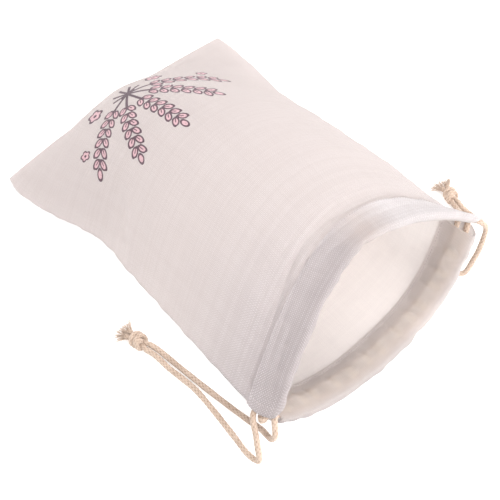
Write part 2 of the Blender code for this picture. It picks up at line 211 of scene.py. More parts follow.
# The drawstrings, in millimetres. Free stretches go between the knots and the casing's open ends.
cordShape = {
    "width": 5.5, "spans": 16, "spanCloser": 0.07, "bend": 30.0, "longSpan": 24.0, "lying": 2.8,
    "entry": 5.6, "entryLength": 9.0, "entryAside": 3.0, "grid": 30,
    "leftReach": (25.7, 12.0), "rightReach": (18.0, 21.5),
    "leftTailUpper": [(-159.5, -84, 2.8), (-155.5, -115, 2.8), (-151, -146, 2.8), (-147.5, -168, 4),
                      (-146, -184, 10), (-147.5, -196, 18), (-145, -198, 27), (-138.5, -190.5, 33.8)],
    "leftTailLower": [(-142.8, -171.8, 34.0), (-148.5, -174.5, 31.5), (-154, -183, 25), (-160.5, -193, 16),
                      (-166, -200, 7.5), (-168, -190, 3.5), (-166.3, -170, 2.8), (-163.5, -136, 2.8),
                      (-162.8, -112, 2.8), (-166.8, -82, 2.8)],
    "leftBridge": [(135, -192.5, 48.8), (139, -196.5, 42), (137, -199.5, 32), (130, -203, 18.5),
                   (121, -205, 7), (108, -206.5, 2.8), (101, -198, 2.8), (108, -187, 2.8), (119, -180, 4),
                   (129, -173, 12), (135.5, -167.5, 24), (137.5, -165, 36), (134.2, -167.8, 42.7),
                   (129.1, -171.4, 45.3)],
    "rightTailFront": [(166.5, -166, 5.5), (163, -175, 10), (156, -181.5, 19), (149, -187, 30),
                       (141, -188, 41), (132, -183.6, 47.2)],
    "rightTailBack": [(134, -179, 42.8), (140, -177, 38.5), (147, -175, 28.5), (154, -171.5, 15),
                      (159, -164.5, 6.5)],
    "rightBridge": [(-140.0, -182.2, 33.4), (-145.0, -182.0, 31.4), (-141.8, -178.0, 29.8)],
    "carriers": 5, "cell": 4.4, "relief": 0.13, "step": 0.66, "around": 36,
}
knotShapes = {
    "left": {"middle": (-170.6, -42.5, 7.4), "heading": 104.0, "halfLength": 12.0, "radius": 8.3,
             "fray": 11.5},
    "right": {"middle": (169.5, -140.4, 6.9), "heading": 72.0, "halfLength": 10.0, "radius": 7.6,
              "fray": 11.5},
}


def casingRun(side, reach):
    even = np.linspace(0, 1, cordShape["grid"] * cordShape["spans"] + 1)
    shares = even - cordShape["spanCloser"] * np.sin(2 * pi * even)
    stitch, onward, inward = casingFrame(side, shares)
    middle = (bagShape["sheet"] + bagShape["tunnel"]) / 2
    return (stitch + onward * reach + inward * middle)[::cordShape["grid"]]


def smoothStretch(before, points, after):
    route = np.array([*before, *points, *after], float)
    spans = np.diff(route, axis=0)
    lengths = np.linalg.norm(spans, axis=1)
    along = np.concatenate([[0], np.cumsum(lengths ** 0.5)])
    ways = spans / lengths[:, None]
    turns = np.degrees(np.arccos(np.clip((ways[1:] * ways[:-1]).sum(axis=1), -1, 1)))
    turns = np.concatenate([[0], turns, [0]])
    first, last = max(len(before) - 1, 0), len(route) - 1 - max(len(after) - 1, 0)
    steps = []
    for i in range(first, last):
        halved = max(turns[i], turns[i + 1]) > cordShape["bend"] or lengths[i] > cordShape["longSpan"]
        steps += [along[i], (along[i] + along[i + 1]) / 2] if halved else [along[i]]
    steps = steps[1:] if len(before) else steps
    steps = steps if len(after) else steps + [along[last]]
    points = np.array([smoothBetween(along, route, step) for step in steps])
    points[:, 2] = np.maximum(points[:, 2], cordShape["lying"])
    return points


def knotAxes(knot):
    heading = radians(knot["heading"])
    return np.array([cos(heading), sin(heading), 0]), np.array([sin(heading), -cos(heading), 0])


def knotEntry(knot, aside):
    onward, across = knotAxes(knot)
    back = onward * (0.82 * knot["halfLength"] + bagShape["seamGap"])
    face = np.array(knot["middle"]) - back + across * aside
    face[2] = cordShape["entry"]
    length = cordShape["entryLength"]
    return [face, face - onward * length / 3, face - onward * length]


def drawstring(side, reaches, tailFront, bridge, tailBack):
    knot, aside = knotShapes[side], cordShape["entryAside"]
    front, back = casingRun("front", reaches[0]), casingRun("back", reaches[1])[::-1]
    if side == "right":
        front, back = front[::-1], back[::-1]
    tailIn = smoothStretch([], knotEntry(knot, aside) + tailFront, front[:2])
    across = smoothStretch(front[-2:], bridge, back[:2])
    tailOut = smoothStretch(back[-2:], tailBack + knotEntry(knot, -aside)[::-1], [])
    return np.concatenate([tailIn, front, across, back, tailOut])


def finely(route, step):
    # The same smooth line, with a point every step along it.
    along = runLengths(route)
    fine = np.array([smoothBetween(along, route, a) for a in np.linspace(0, along[-1], int(along[-1] * 3))])
    length = runLengths(fine)
    even = np.linspace(0, length[-1], int(length[-1] / step) + 1)
    return np.stack([np.interp(even, length, fine[:, k]) for k in range(3)], 1)


# Colours as they look on screen, and the maths of the materials.
def screen(red, green, blue):
    shares = (red / 255, green / 255, blue / 255)
    return (*(((c + 0.055) / 1.055) ** 2.4 if c > 0.04 else c / 12.92 for c in shares), 1.0)


class Wire:
    def __init__(self, tree, socket=None):
        self.tree, self.socket = tree, socket

    def node(self, kind, settings=None, inputs=None, output=0):
        made = self.tree.nodes.new(kind)
        for name, value in (settings or {}).items():
            if name == "stops":
                ramp = made.color_ramp
                while len(ramp.elements) < len(value):
                    ramp.elements.new(1.0)
                for element, (position, colour) in zip(ramp.elements, value):
                    element.position, element.color = position, colour
            else:
                setattr(made, name, value)
        for name, value in (inputs or {}).items():
            if isinstance(value, Wire):
                self.tree.links.new(value.socket, made.inputs[name])
            else:
                made.inputs[name].default_value = value
        return Wire(self.tree, made.outputs[output])

    def of(self, name):
        return Wire(self.tree, self.socket.node.outputs[name])

    def attribute(self, name):
        return self.node("ShaderNodeAttribute", {"attribute_name": name}, output=2)

    def math(self, operation, *others):
        return self.node("ShaderNodeMath", {"operation": operation}, dict(enumerate((self, *others))))

    def __add__(self, other):
        return self.math("ADD", other)

    def __radd__(self, other):
        return self.math("ADD", other)

    def __sub__(self, other):
        return self.math("SUBTRACT", other)

    def __rsub__(self, other):
        return self.node("ShaderNodeMath", {"operation": "SUBTRACT"}, {0: other, 1: self})

    def __mul__(self, other):
        return self.math("MULTIPLY", other)

    def __rmul__(self, other):
        return self.math("MULTIPLY", other)

    def __truediv__(self, other):
        return self.math("DIVIDE", other)

    def __pow__(self, other):
        return self.math("POWER", other)

    def __abs__(self):
        return self.math("ABSOLUTE")

    def smooth(self, low, high):
        # 0 below low, 1 above high, and the other way round where low is the higher one.
        inputs = {"Value": self, "From Min": min(low, high), "From Max": max(low, high)}
        ramp = self.node("ShaderNodeMapRange", {"interpolation_type": "SMOOTHSTEP"}, inputs)
        return ramp if low < high else 1 - ramp

    def mix(self, first, second):
        # First where this is 0, second where it is 1.
        return self.node("ShaderNodeMix", {"data_type": "RGBA"}, {0: self, 6: first, 7: second}, 2)


def noiseOf(place, scale, detail=2.0, roughness=0.5, dimensions="3D"):
    return place.node("ShaderNodeTexNoise", {"noise_dimensions": dimensions},
                      {"Vector": place, "Scale": scale, "Detail": detail, "Roughness": roughness})


def finish(material):
    return material.node_tree.nodes["Principled BSDF"]


def newMaterial(name, roughness, sheen):
    material = bpy.data.materials.new(name)
    material.use_nodes = True
    shader = finish(material)
    shader.inputs["Roughness"].default_value = roughness
    shader.inputs["Sheen Weight"].default_value = sheen
    shader.inputs["Sheen Roughness"].default_value = 0.6
    shader.inputs["Specular IOR Level"].default_value = 0.25
    return material, Wire(material.node_tree), shader


def setSurface(start, shader, colour, height, strength, depth):
    # Gives a material its colour and its fine relief.
    bump = start.node("ShaderNodeBump", inputs={"Strength": strength, "Distance": depth, "Height": height})
    start.tree.links.new(colour.socket, shader.inputs["Base Color"])
    start.tree.links.new(bump.socket, shader.inputs["Normal"])


# The linen: a plain weave of slightly uneven threads, from the cloth's own measure in metres.
linenLook = {
    # inside is painted light: the same linen made lighter and warmer than outside
    "thread": 0.00118, "outside": screen(236, 234, 239), "inside": screen(255, 250, 240),
    # hem is painted warm shade for the hem inside the mouth; gap is a darker thread tone, used also for
    # painted shade
    "gap": screen(146, 136, 138), "fleck": screen(186, 166, 148), "hem": screen(206, 194, 184),
    "weaveDepth": 0.00055,
    "through": screen(253, 250, 249), "seeThrough": 0.74,        # thin cloth lets some light through
}
# The print on the front: a tied bunch of wheat ears and four blossoms, in millimetres from where it is tied.
printLook = {
    "tie": (-6.0, 286.0), "ink": screen(200, 160, 166), "line": screen(62, 32, 50),
    "ears": [(-72, 0.0016, 6), (-38, 0.0010, 6), (0, 0.0, 6), (38, -0.0010, 6), (72, -0.0016, 6)],
    "kernel": (6.5, 3.6), "pitch": 10.2, "aside": 4.1, "start": 22.0, "slant": 32.0, "enlarged": 1.16,
    "blossoms": [(-33, -13, 9.0), (34, -12, 9.0), (-70, 12, 6.0), (72, 11, 6.0)],
}


def ring(distance, edge):
    # Filled inside 1, and the outline along its edge.
    fill = distance.smooth(1.0, 0.96)
    return fill, distance.smooth(edge, edge + 0.08) * fill


def wheatEar(x, y, turn, bend, kernels):
    # An ear's kernels, outlines and stem, for an ear that leans by turn degrees and bends on the way.
    c, s = cos(radians(turn)), sin(radians(turn))
    along = x * s + y * c
    aside = (x * c - y * s) - along * along * bend
    pitch, (longer, wider), start = printLook["pitch"], printLook["kernel"], printLook["start"]
    step = (along - start) / pitch
    cell = (step - step.math("FLOOR") - 0.5) * pitch
    off = abs(aside) - printLook["aside"]
    slant, last = radians(printLook["slant"]), start + kernels * pitch
    a = cell * cos(slant) + off * sin(slant)
    b = off * cos(slant) - cell * sin(slant)
    inEar = along.smooth(start, start + 0.2) * along.smooth(last, last - 0.2)
    fill, edge = ring(((a / longer) ** 2 + (b / wider) ** 2).math("SQRT"), 0.55)
    vein = abs(b).smooth(0.55, 0.35) * a.smooth(1.5, 0.5)
    fill, edge = fill * inEar, edge.math("MAXIMUM", vein * fill) * inEar
    stem = abs(aside).smooth(1.45, 1.2) * along.smooth(-16, -15.6) * along.smooth(start + 4.0, start + 3.6)
    tipAlong = along - (last + 3.4)
    tipFill, tipEdge = ring(((tipAlong / 6.2) ** 2 + (aside / 3.3) ** 2).math("SQRT"), 0.55)
    return fill.math("MAXIMUM", tipFill), edge.math("MAXIMUM", tipEdge).math("MAXIMUM", stem)


def blossom(x, y, across, up, reach):
    # Five round petals about a dark middle.
    px, py = x - across, y - up
    away = (px * px + py * py).math("SQRT") / reach
    petals = 0.72 + 0.28 * abs((py.math("ARCTAN2", px) * 2.5 + 0.6).math("SINE"))
    fill, edge = ring(away / petals, 0.66)
    return fill, edge.math("MAXIMUM", away.smooth(0.24, 0.20))


def strandHeight(place, other, way):
    # The threads that lie along one way, over and under the others.
    crossing = ((other - 0.5 + place.math("FLOOR")) * pi).math("COSINE")
    return (abs((place * pi).math("SINE")) ** 0.7) * (0.5 + way * crossing)


def makeLinen(name, printed):
    material, start, shader = newMaterial(name, 0.92, 0.25)
    uv = start.node("ShaderNodeUVMap", {"uv_map": "cloth"})
    parts = start.node("ShaderNodeSeparateXYZ", inputs={0: uv})
    u, v = parts, parts.of("Y")
    drift = noiseOf(uv, 45.0, 2.0)
    x = u / linenLook["thread"] + (drift - 0.5) * 1.6
    sideways = drift.node("ShaderNodeSeparateColor", inputs={0: drift.of("Color")}).of("Green")
    y = v / linenLook["thread"] + (sideways - 0.5) * 1.6
    warp, weft = strandHeight(x, y, 0.5), strandHeight(y, x, -0.5)
    weave = warp.math("MAXIMUM", weft)
    threads = start.node("ShaderNodeCombineXYZ", inputs={0: x * 0.9, 1: y * 0.07, 2: 0.0})
    picks = start.node("ShaderNodeCombineXYZ", inputs={0: x * 0.06, 1: y * 0.9, 2: 4.0})
    slub = noiseOf(threads, 1.0, 2.0) * 0.5 + noiseOf(picks, 1.0, 2.0) * 0.5
    eachWarp = start.node("ShaderNodeTexWhiteNoise", {"noise_dimensions": "1D"}, {"W": x.math("FLOOR")})
    eachWeft = start.node("ShaderNodeTexWhiteNoise", {"noise_dimensions": "1D"}, {"W": y.math("FLOOR") + 0.5})
    thread = warp.math("GREATER_THAN", weft) * (eachWarp - eachWeft) + eachWeft
    cloud = noiseOf(uv, 9.0, 3.0)
    fleck = noiseOf(uv, 900.0, 1.0).smooth(0.74, 0.80)
    inside = start.attribute("inside")
    gap = linenLook["gap"]
    # Painted light: the inner face is the same linen, painted lighter and warmer, with weaker weave shade.
    base = inside.mix(linenLook["outside"], linenLook["inside"])
    doubled, hem = start.attribute("doubled"), start.attribute("hem")
    # Painted shade in the gaps between the threads, and on the threads that lie one way, more so in the
    # painted shade on the left; the gap colour also gives single threads, slubs and clouds a random darker
    # tone.
    base = (weave.smooth(0.85, 0.10) * (0.95 - 0.45 * inside)).mix(base, gap)
    base = (thread.smooth(0.15, 0.95) * (0.36 - 0.22 * inside)).mix(base, gap)
    over = (warp - weft).smooth(-0.15, 0.15)
    # This attribute is painted shade where it is above 0 and painted light where it is below 0: the shade
    # darkens the cloth towards the gap colour, the light whitens it.
    shadePaint, lightPaint = doubled.math("MAXIMUM", 0.0), (0 - doubled).math("MAXIMUM", 0.0)
    base = (over * (0.26 - 0.18 * inside + 0.50 * shadePaint)).mix(base, gap)
    base = (shadePaint * 0.26).mix(base, gap)
    base = (lightPaint * 0.24).mix(base, linenLook["through"])
    # painted warm shade on the hem inside the mouth
    base = (hem * 0.85).mix(base, linenLook["hem"])
    base = (slub.smooth(0.62, 0.40) * 0.14).mix(base, gap)
    base = (cloud.smooth(0.35, 0.70) * 0.05).mix(base, gap)
    base = (fleck * 0.25).mix(base, linenLook["fleck"])
    seen = linenLook["seeThrough"] * (1 - 0.45 * abs(doubled)) * (1 - 0.35 * hem.smooth(0.60, 1.0))
    seen = seen * (1 - weave.smooth(0.75, 0.15) * (0.40 - 0.25 * inside))
    if printed:
        left, up = printLook["tie"]
        px, py = (u * 1000 - left) / printLook["enlarged"], (up - v * 1000) / printLook["enlarged"]
        shapes = [wheatEar(px, py, turn, bend, kernels) for turn, bend, kernels in printLook["ears"]]
        shapes += [blossom(px, py, across, rise, reach) for across, rise, reach in printLook["blossoms"]]
        tie = abs(px).smooth(8.0, 7.7) * abs(py).smooth(3.0, 2.7)
        fill, line = shapes[0][0], tie.math("MAXIMUM", shapes[0][1])
        for ink, edge in shapes[1:]:
            fill, line = fill.math("MAXIMUM", ink), line.math("MAXIMUM", edge)
        outside = 1 - inside
        dots = noiseOf(uv, 620.0, 1.0).smooth(0.66, 0.70) * fill
        worn = noiseOf(uv, 500.0, 2.0).smooth(0.28, 0.42) * 0.08 + 0.86 + 0.06 * weave
        seen = seen * (1 - 0.93 * (fill.math("MAXIMUM", line) * outside))
        base = (fill * outside * worn).mix(base, printLook["ink"])
        base = (line.math("MAXIMUM", dots * 0.75) * outside * worn).mix(base, printLook["line"])
    setSurface(start, shader, base, weave * 0.8 + slub * 0.35, 0.8, linenLook["weaveDepth"])
    rough = 0.86 + 0.1 * (1 - weave)
    start.tree.links.new(rough.socket, shader.inputs["Roughness"])
    through = start.node("ShaderNodeBsdfTranslucent", inputs={"Color": linenLook["through"]})
    both = start.node("ShaderNodeMixShader", inputs={0: seen, 2: through})
    start.tree.links.new(shader.outputs[0], both.socket.node.inputs[1])
    start.tree.links.new(both.socket, start.tree.nodes["Material Output"].inputs["Surface"])
    return material


cottonLook = {"light": screen(205, 184, 167), "deep": screen(112, 82, 62), "fibreDepth": 0.00016}


def makeCotton(name, alongCord):
    # Cotton cord: fine fibres that run with it, with painted shade between the strands of its braid.
    material, start, shader = newMaterial(name, 0.9, 0.30)
    place = start.node("ShaderNodeTexCoord", output=3)
    if alongCord:
        uv = start.node("ShaderNodeUVMap", {"uv_map": "cord"})
        parts = start.node("ShaderNodeSeparateXYZ", inputs={0: uv})
        around = parts * (2 * pi)
        groove = start.attribute("groove")
        streak = start.node("ShaderNodeCombineXYZ", inputs={0: around.math("COSINE") * 5.0,
                                                            1: around.math("SINE") * 5.0,
                                                            2: parts.of("Y") * 420.0})
        fibre = noiseOf(streak, 1.6, 4.0, 0.65)
    else:
        groove = noiseOf(place, 260.0, 2.0).smooth(0.50, 0.85)
        fibre = noiseOf(place, 1500.0, 3.0)
    spots = noiseOf(place, 90.0, 2.0)
    uneven = noiseOf(place, 420.0, 2.0).smooth(0.35, 0.65) * 0.75 + 0.25
    light, deep = cottonLook["light"], cottonLook["deep"]
    # On the cord this is painted shade in the braid's grooves; on the frays the same darkening falls in
    # random patches. The deep colour also gives fibres and spots a darker tone.
    base = (groove.smooth(0.20, 0.85) * 0.72 * uneven).mix(light, deep)
    base = (fibre.smooth(0.58, 0.36) * 0.35).mix(base, deep)
    base = (spots.smooth(0.45, 0.75) * 0.22).mix(base, deep)
    setSurface(start, shader, base, fibre, 0.8, cottonLook["fibreDepth"])
    return material


linenPrinted = makeLinen("printedLinen", True)
linenPlain = makeLinen("plainLinen", False)
cottonCord = makeCotton("twistedCotton", True)
cottonFray = makeCotton("frayedCotton", False)
print("materials made")

# The camera: the photograph's angle, a little rolled.
view = {"azimuth": -42.0, "elevation": 59.3, "roll": -1.6, "distance": 0.676,
        "target": (-0.037, -0.053, 0.030), "lens": 50.4}
azimuth, elevation, roll = (radians(view[key]) for key in ("azimuth", "elevation", "roll"))
backward = Vector((sin(azimuth) * cos(elevation), -cos(azimuth) * cos(elevation), sin(elevation)))
level = Vector((cos(azimuth), sin(azimuth), 0))
upward = backward.cross(level)
rightward = level * cos(roll) + upward * sin(roll)
upward = upward * cos(roll) - level * sin(roll)
camera = bpy.data.objects.new("camera", bpy.data.cameras.new("camera"))
scene.collection.objects.link(camera)
camera.matrix_world = Matrix.Translation(Vector(view["target"]) + backward * view["distance"]) @ Matrix(
    (rightward, upward, backward)).transposed().to_4x4()
camera.data.lens = view["lens"]
camera.data.sensor_fit = "HORIZONTAL"
camera.data.sensor_width = 36.0
scene.camera = camera


def addMesh(name, vertices, faces, material, uvName=None, uvs=None, values=None):
    mesh = bpy.data.meshes.new(name)
    mesh.from_pydata([tuple(v) for v in vertices], [], faces)
    mesh.materials.append(material)
    if uvName:
        layer = mesh.uv_layers.new(name=uvName)
        corners = np.zeros(len(mesh.loops), dtype=np.int32)
        mesh.loops.foreach_get("vertex_index", corners)
        if isinstance(uvs, dict):
            flat = np.array([uvs["faces"][i] for i in range(len(mesh.loops))], float)
        else:
            flat = np.asarray(uvs, float)[corners]
        layer.data.foreach_set("uv", flat.ravel())
    for key, value in (values or {}).items():
        mesh.attributes.new(key, "FLOAT", "POINT").data.foreach_set("value", np.asarray(value, float))
    mesh.shade_smooth()
    piece = bpy.data.objects.new(name, mesh)
    scene.collection.objects.link(piece)
    return piece


def carriedFrames(points):
    # Two ways across a line at each of its points, carried along it without twist.
    ways = unit(np.gradient(points, axis=0))
    side = np.cross(ways[0], (0, 0, 1.0) if abs(ways[0][2]) < 0.9 else (1.0, 0, 0))
    sides = []
    for way in ways:
        side = side - way * np.dot(side, way)
        side = side / np.linalg.norm(side)
        sides.append(side)
    sides = np.array(sides)
    return ways, sides, np.cross(ways, sides)


def plainWeave(p, q):
    over = np.abs(np.sin(pi * p)) ** 0.7 * (0.5 + 0.5 * np.cos(pi * (q - 0.5 + np.floor(p))))
    under = np.abs(np.sin(pi * q)) ** 0.7 * (0.5 - 0.5 * np.cos(pi * (p - 0.5 + np.floor(q))))
    return np.maximum(over, under)


def braidedTube(name, line, width, around):
    # A soft braided cord as one closed tube, with a point in the middle of its ends.
    along = runLengths(line)
    ways, sides, ups = carriedFrames(line)
    turn = np.linspace(0, 2 * pi, around, endpoint=False)
    carriers = turn[None, :] / (2 * pi) * cordShape["carriers"]
    rows = along[:, None] / cordShape["cell"]
    height = plainWeave(carriers + rows, carriers - rows)
    uneven = 1 + 0.03 * np.sin(along / 9.0) + 0.025 * np.sin(along / 3.7 + 1.0)
    radius = width / 2 * (1.02 - cordShape["relief"] * (1 - height)) * uneven[:, None]
    skin = (line[:, None, :] + sides[:, None, :] * (radius * np.cos(turn))[:, :, None]
            + ups[:, None, :] * (radius * np.sin(turn))[:, :, None])
    count = len(line)
    vertices = list(skin.reshape(-1, 3) * mm) + [line[0] * mm, line[-1] * mm]
    faces, corners = [], []
    for i in range(count - 1):
        for j in range(around):
            k = (j + 1) % around
            faces.append((i * around + j, i * around + k, (i + 1) * around + k, (i + 1) * around + j))
            a, b = j / around, (j + 1) / around
            low, high = along[i] * mm, along[i + 1] * mm
            corners += [(a, low), (b, low), (b, high), (a, high)]
    for j in range(around):
        k = (j + 1) % around
        last = (count - 1) * around
        faces.append((count * around, k, j))
        faces.append((count * around + 1, last + j, last + k))
        corners += [(j / around, 0)] * 3 + [(j / around, along[-1] * mm)] * 3
    values = {"groove": list((1 - height).ravel()) + [0.5, 0.5]}
    return addMesh(name, vertices, faces, cottonCord, "cord", {"faces": corners}, values), along[-1]


cordParts = {
    "left": ("leftReach", "leftTailUpper", "leftBridge", "leftTailLower"),
    "right": ("rightReach", "rightTailFront", "rightBridge", "rightTailBack"),
}
routes = {side: drawstring(side, *[cordShape[part] for part in parts]) for side, parts in cordParts.items()}
cords, cordLengths, cordLines = {}, {}, {}
for side, route in routes.items():
    cordLines[side] = finely(route, cordShape["step"])
    cords[side], cordLengths[side] = braidedTube(side + "Cord", cordLines[side], cordShape["width"],
                                                 cordShape["around"])
print("cords laid:", {side: round(length, 1) for side, length in cordLengths.items()})


# The two panels, each one sheet from the closed bottom to the hem inside the mouth.
def panelGrid(side):
    shares = np.linspace(0, 1, bagShape["columns"] + 1)
    between = np.linspace(0.05, 0.93, bagShape["bodyRows"] - 40)        # closer rows at both ends
    runs = np.concatenate([np.linspace(0, 0.05, 14)[:-1], between[:-1], np.linspace(0.93, 1.0, 28)])
    body = [panelRow(side, run, shares) for run in runs]
    casing = casingRows(side, shares)
    return shares, np.array(body + casing), len(body)


def outwardNormals(side, grid, bodyRows):
    normals = unit(np.cross(np.gradient(grid, axis=0), np.gradient(grid, axis=1)))
    upward = normals[bodyRows // 2, grid.shape[1] // 2, 2] > 0
    return normals if upward == (side == "front") else -normals


surfaces = {}


def makePanel(side, name, material):
    shares, grid, bodyRows = panelGrid(side)
    normals = outwardNormals(side, grid, bodyRows)
    grid = grid + normals * wrinkles(side, grid, shares, bodyRows)[:, :, None]
    lowest = bagShape["cloth"] / 2 + 0.02        # nothing goes below what it lies on
    grid[:, :, 2] = np.maximum(grid[:, :, 2], lowest)
    lengths = np.concatenate([np.zeros((1, len(shares))),
                              np.cumsum(np.linalg.norm(np.diff(grid, axis=0), axis=2), axis=0)])
    mean = lengths.mean(axis=1)
    uvs = np.stack([np.broadcast_to((shares - 0.5)[None, :] * 0.31, grid.shape[:2]),
                    np.broadcast_to((mean[bodyRows - 1] - mean)[:, None] * mm, grid.shape[:2])], 2)
    surfaces[side] = (grid, normals, bodyRows)
    grid, uvs = roundSeams(side, grid, normals, uvs, bodyRows)
    normals = outwardNormals(side, grid, bodyRows)
    half = bagShape["cloth"] / 2
    outer, inner = grid + normals * half, grid - normals * half
    rows, columns = grid.shape[:2]
    flip = side == "front"
    vertices = np.concatenate([outer.reshape(-1, 3), inner.reshape(-1, 3)]) * mm
    faces = []
    size = rows * columns

    def quad(a, b, c, d, turned):
        faces.append((a, b, c, d) if turned else (d, c, b, a))

    for i in range(rows - 1):
        for j in range(columns - 1):
            a, b = i * columns + j, i * columns + j + 1
            c, d = b + columns, a + columns
            quad(a, b, c, d, flip)
            quad(a + size, b + size, c + size, d + size, not flip)
    edge = list(range(columns)) + [i * columns + columns - 1 for i in range(1, rows)]
    edge += [(rows - 1) * columns + j for j in range(columns - 2, -1, -1)]
    edge += [i * columns for i in range(rows - 2, 0, -1)]
    for a, b in zip(edge, edge[1:] + edge[:1]):
        quad(a, b, b + size, a + size, not flip)
    flatUvs = np.concatenate([uvs.reshape(-1, 2)] * 2)
    inside = np.concatenate([np.zeros(size), np.ones(size)])
    hem, doubled = np.zeros((rows, columns)), np.zeros((rows, columns))
    profile = casingProfile()
    reaches = np.array([row[0] for row in profile])
    turned = np.clip(np.array([row[2] for row in profile]) * 2 - 1, 0, 1)
    hem[-len(profile):] = turned[:, None]
    lit = np.concatenate([[0] * 3, shares, [1] * 3])        # painted shade on the left, painted light on the right
    doubled[-len(profile):] = (1 - hem[-len(profile):]) * np.clip((0.62 - lit) / 0.12, -1, 1)[None, :]
    down = (mean[bodyRows - 1] - mean[:bodyRows])[:, None]
    # painted shade on the body below the casing, towards the left
    doubled[3:bodyRows + 3] = 0.75 * bell(down, 60) * np.clip((0.55 - lit) / 0.35, 0, 1)[None, :]
    inside[:size] = 0.3 * hem.ravel()      # the hem, the cloth's outer face turned into the mouth, gets some of the inside's painted light
    # the hem's painted shade thins out down its slope and towards its fold
    faded = np.clip((reaches - 3) / 9, 0.40, 1) * np.clip((29 - reaches) / 9, 0.25, 1)
    hem[-len(profile):] *= faded[:, None]
    creased = sum(bell(shares - place, 0.016) for place in puckerPlaces[side])
    hem[:, 3:-3] *= (0.72 + 0.55 * creased)[None, :]       # more of the hem's painted warm shade in the puckers
    values = {"inside": inside, "doubled": np.concatenate([doubled.ravel(), np.zeros(size)]),
              "hem": np.concatenate([hem.ravel(), np.zeros(size)])}
    return addMesh(name, vertices, faces, material, "cloth", flatUvs, values), float(mean[-1])


# Creases in the cloth, as points (across from the middle, from the stitch line towards the bottom) in
# millimetres, then width and height, down (-) or up (+).
creases = {
    "front": [
        ([(-152, 1), (-116, 2), (-87, 3), (-60, 6), (-35, 9), (-10, 11), (12, 8), (45, 2), (87, 5), (118, 3)],
         1.5, -1.3),
        ([(-152, -12), (-114, -8), (-83, -6), (-48, -3), (-23, 0), (2, -4), (19, -6), (64, -7), (95, 1),
          (125, -3), (150, -5)], 1.4, -1.2),
        ([(-120, -3), (-80, -2), (-45, 3), (-15, 6), (14, 2), (44, -3), (84, -1)], 2.0, 0.9),
        ([(-70, 12), (-29, 15), (6, 17), (43, 19), (95, 17), (120, 14)], 2.6, 0.8),
        ([(-82, 36), (-54, 28), (-31, 22), (-4, 19)], 1.9, -1.0),
        ([(-12, 25), (20, 26), (52, 27), (88, 24)], 2.2, -0.7),
        ([(-142, 16), (-118, 14), (-96, 10), (-74, 10)], 2.0, -0.8),
        ([(-140, -19), (-124, -17), (-101, -15), (-84, -14)], 1.8, -0.9),
        ([(28, -13), (60, -15), (92, -12), (118, -13)], 2.0, -0.8),
        ([(-128, 24), (-104, 20), (-86, 17), (-66, 21)], 1.8, -0.7),
        ([(-60, 45), (-38, 38), (-12, 34), (8, 37)], 1.8, 0.7),
        ([(10, 14), (32, 15), (50, 20), (70, 19)], 1.7, -0.8),
        ([(-30, -10), (-8, -12), (14, -17), (30, -18)], 1.6, -0.8),
        ([(60, 34), (84, 36), (104, 31), (126, 30)], 2.2, 0.6),
        ([(-98, 217), (-103, 204), (-124, 191), (-150, 176)], 6.0, -1.8),
        ([(-88, 226), (-92, 206), (-112, 186), (-132, 172)], 7.0, 1.1),
    ],
    "back": [
        ([(-150, 2), (-90, 3), (-20, 2), (40, 4), (100, 2), (150, 3)], 1.8, -0.6),
        ([(62, 60), (88, 40), (104, 18), (112, 6)], 5.0, 1.4),
        ([(74, 74), (100, 52), (118, 28), (128, 12)], 6.0, -1.2),
        ([(-60, 90), (-10, 70), (50, 76), (90, 100)], 9.0, 0.7),
    ],
}
# Short puckers across each casing, at shares of the width.
puckerPlaces = {
    "front": (0.05, 0.115, 0.19, 0.245, 0.315, 0.40, 0.465, 0.55, 0.62, 0.70, 0.765, 0.84, 0.92),
    "back": (0.045, 0.12, 0.17, 0.265, 0.335, 0.405, 0.46, 0.545, 0.615, 0.675, 0.765, 0.825, 0.905),
}


def creaseHeight(points, width, height, u, v):
    # Height of one crease at the cloth's points, fading to nothing at its two ends.
    route = np.array(points, float)
    best, where = np.full(u.shape, 1e9), np.zeros(u.shape)
    lengths = np.linalg.norm(np.diff(route, axis=0), axis=1)
    before = np.concatenate([[0], np.cumsum(lengths)])
    for i, (a, b) in enumerate(zip(route, route[1:])):
        t = np.clip(((u - a[0]) * (b[0] - a[0]) + (v - a[1]) * (b[1] - a[1])) / lengths[i] ** 2, 0, 1)
        away = np.hypot(u - a[0] - t * (b[0] - a[0]), v - a[1] - t * (b[1] - a[1]))
        where = np.where(away < best, (before[i] + t * lengths[i]) / before[-1], where)
        best = np.minimum(best, away)
    uneven = 0.62 + 0.38 * np.sin(where * 23 + width * 5) * np.sin(where * 8.3 + height * 4)
    return height * bell(best, width) * np.sin(pi * where) ** 0.35 * uneven


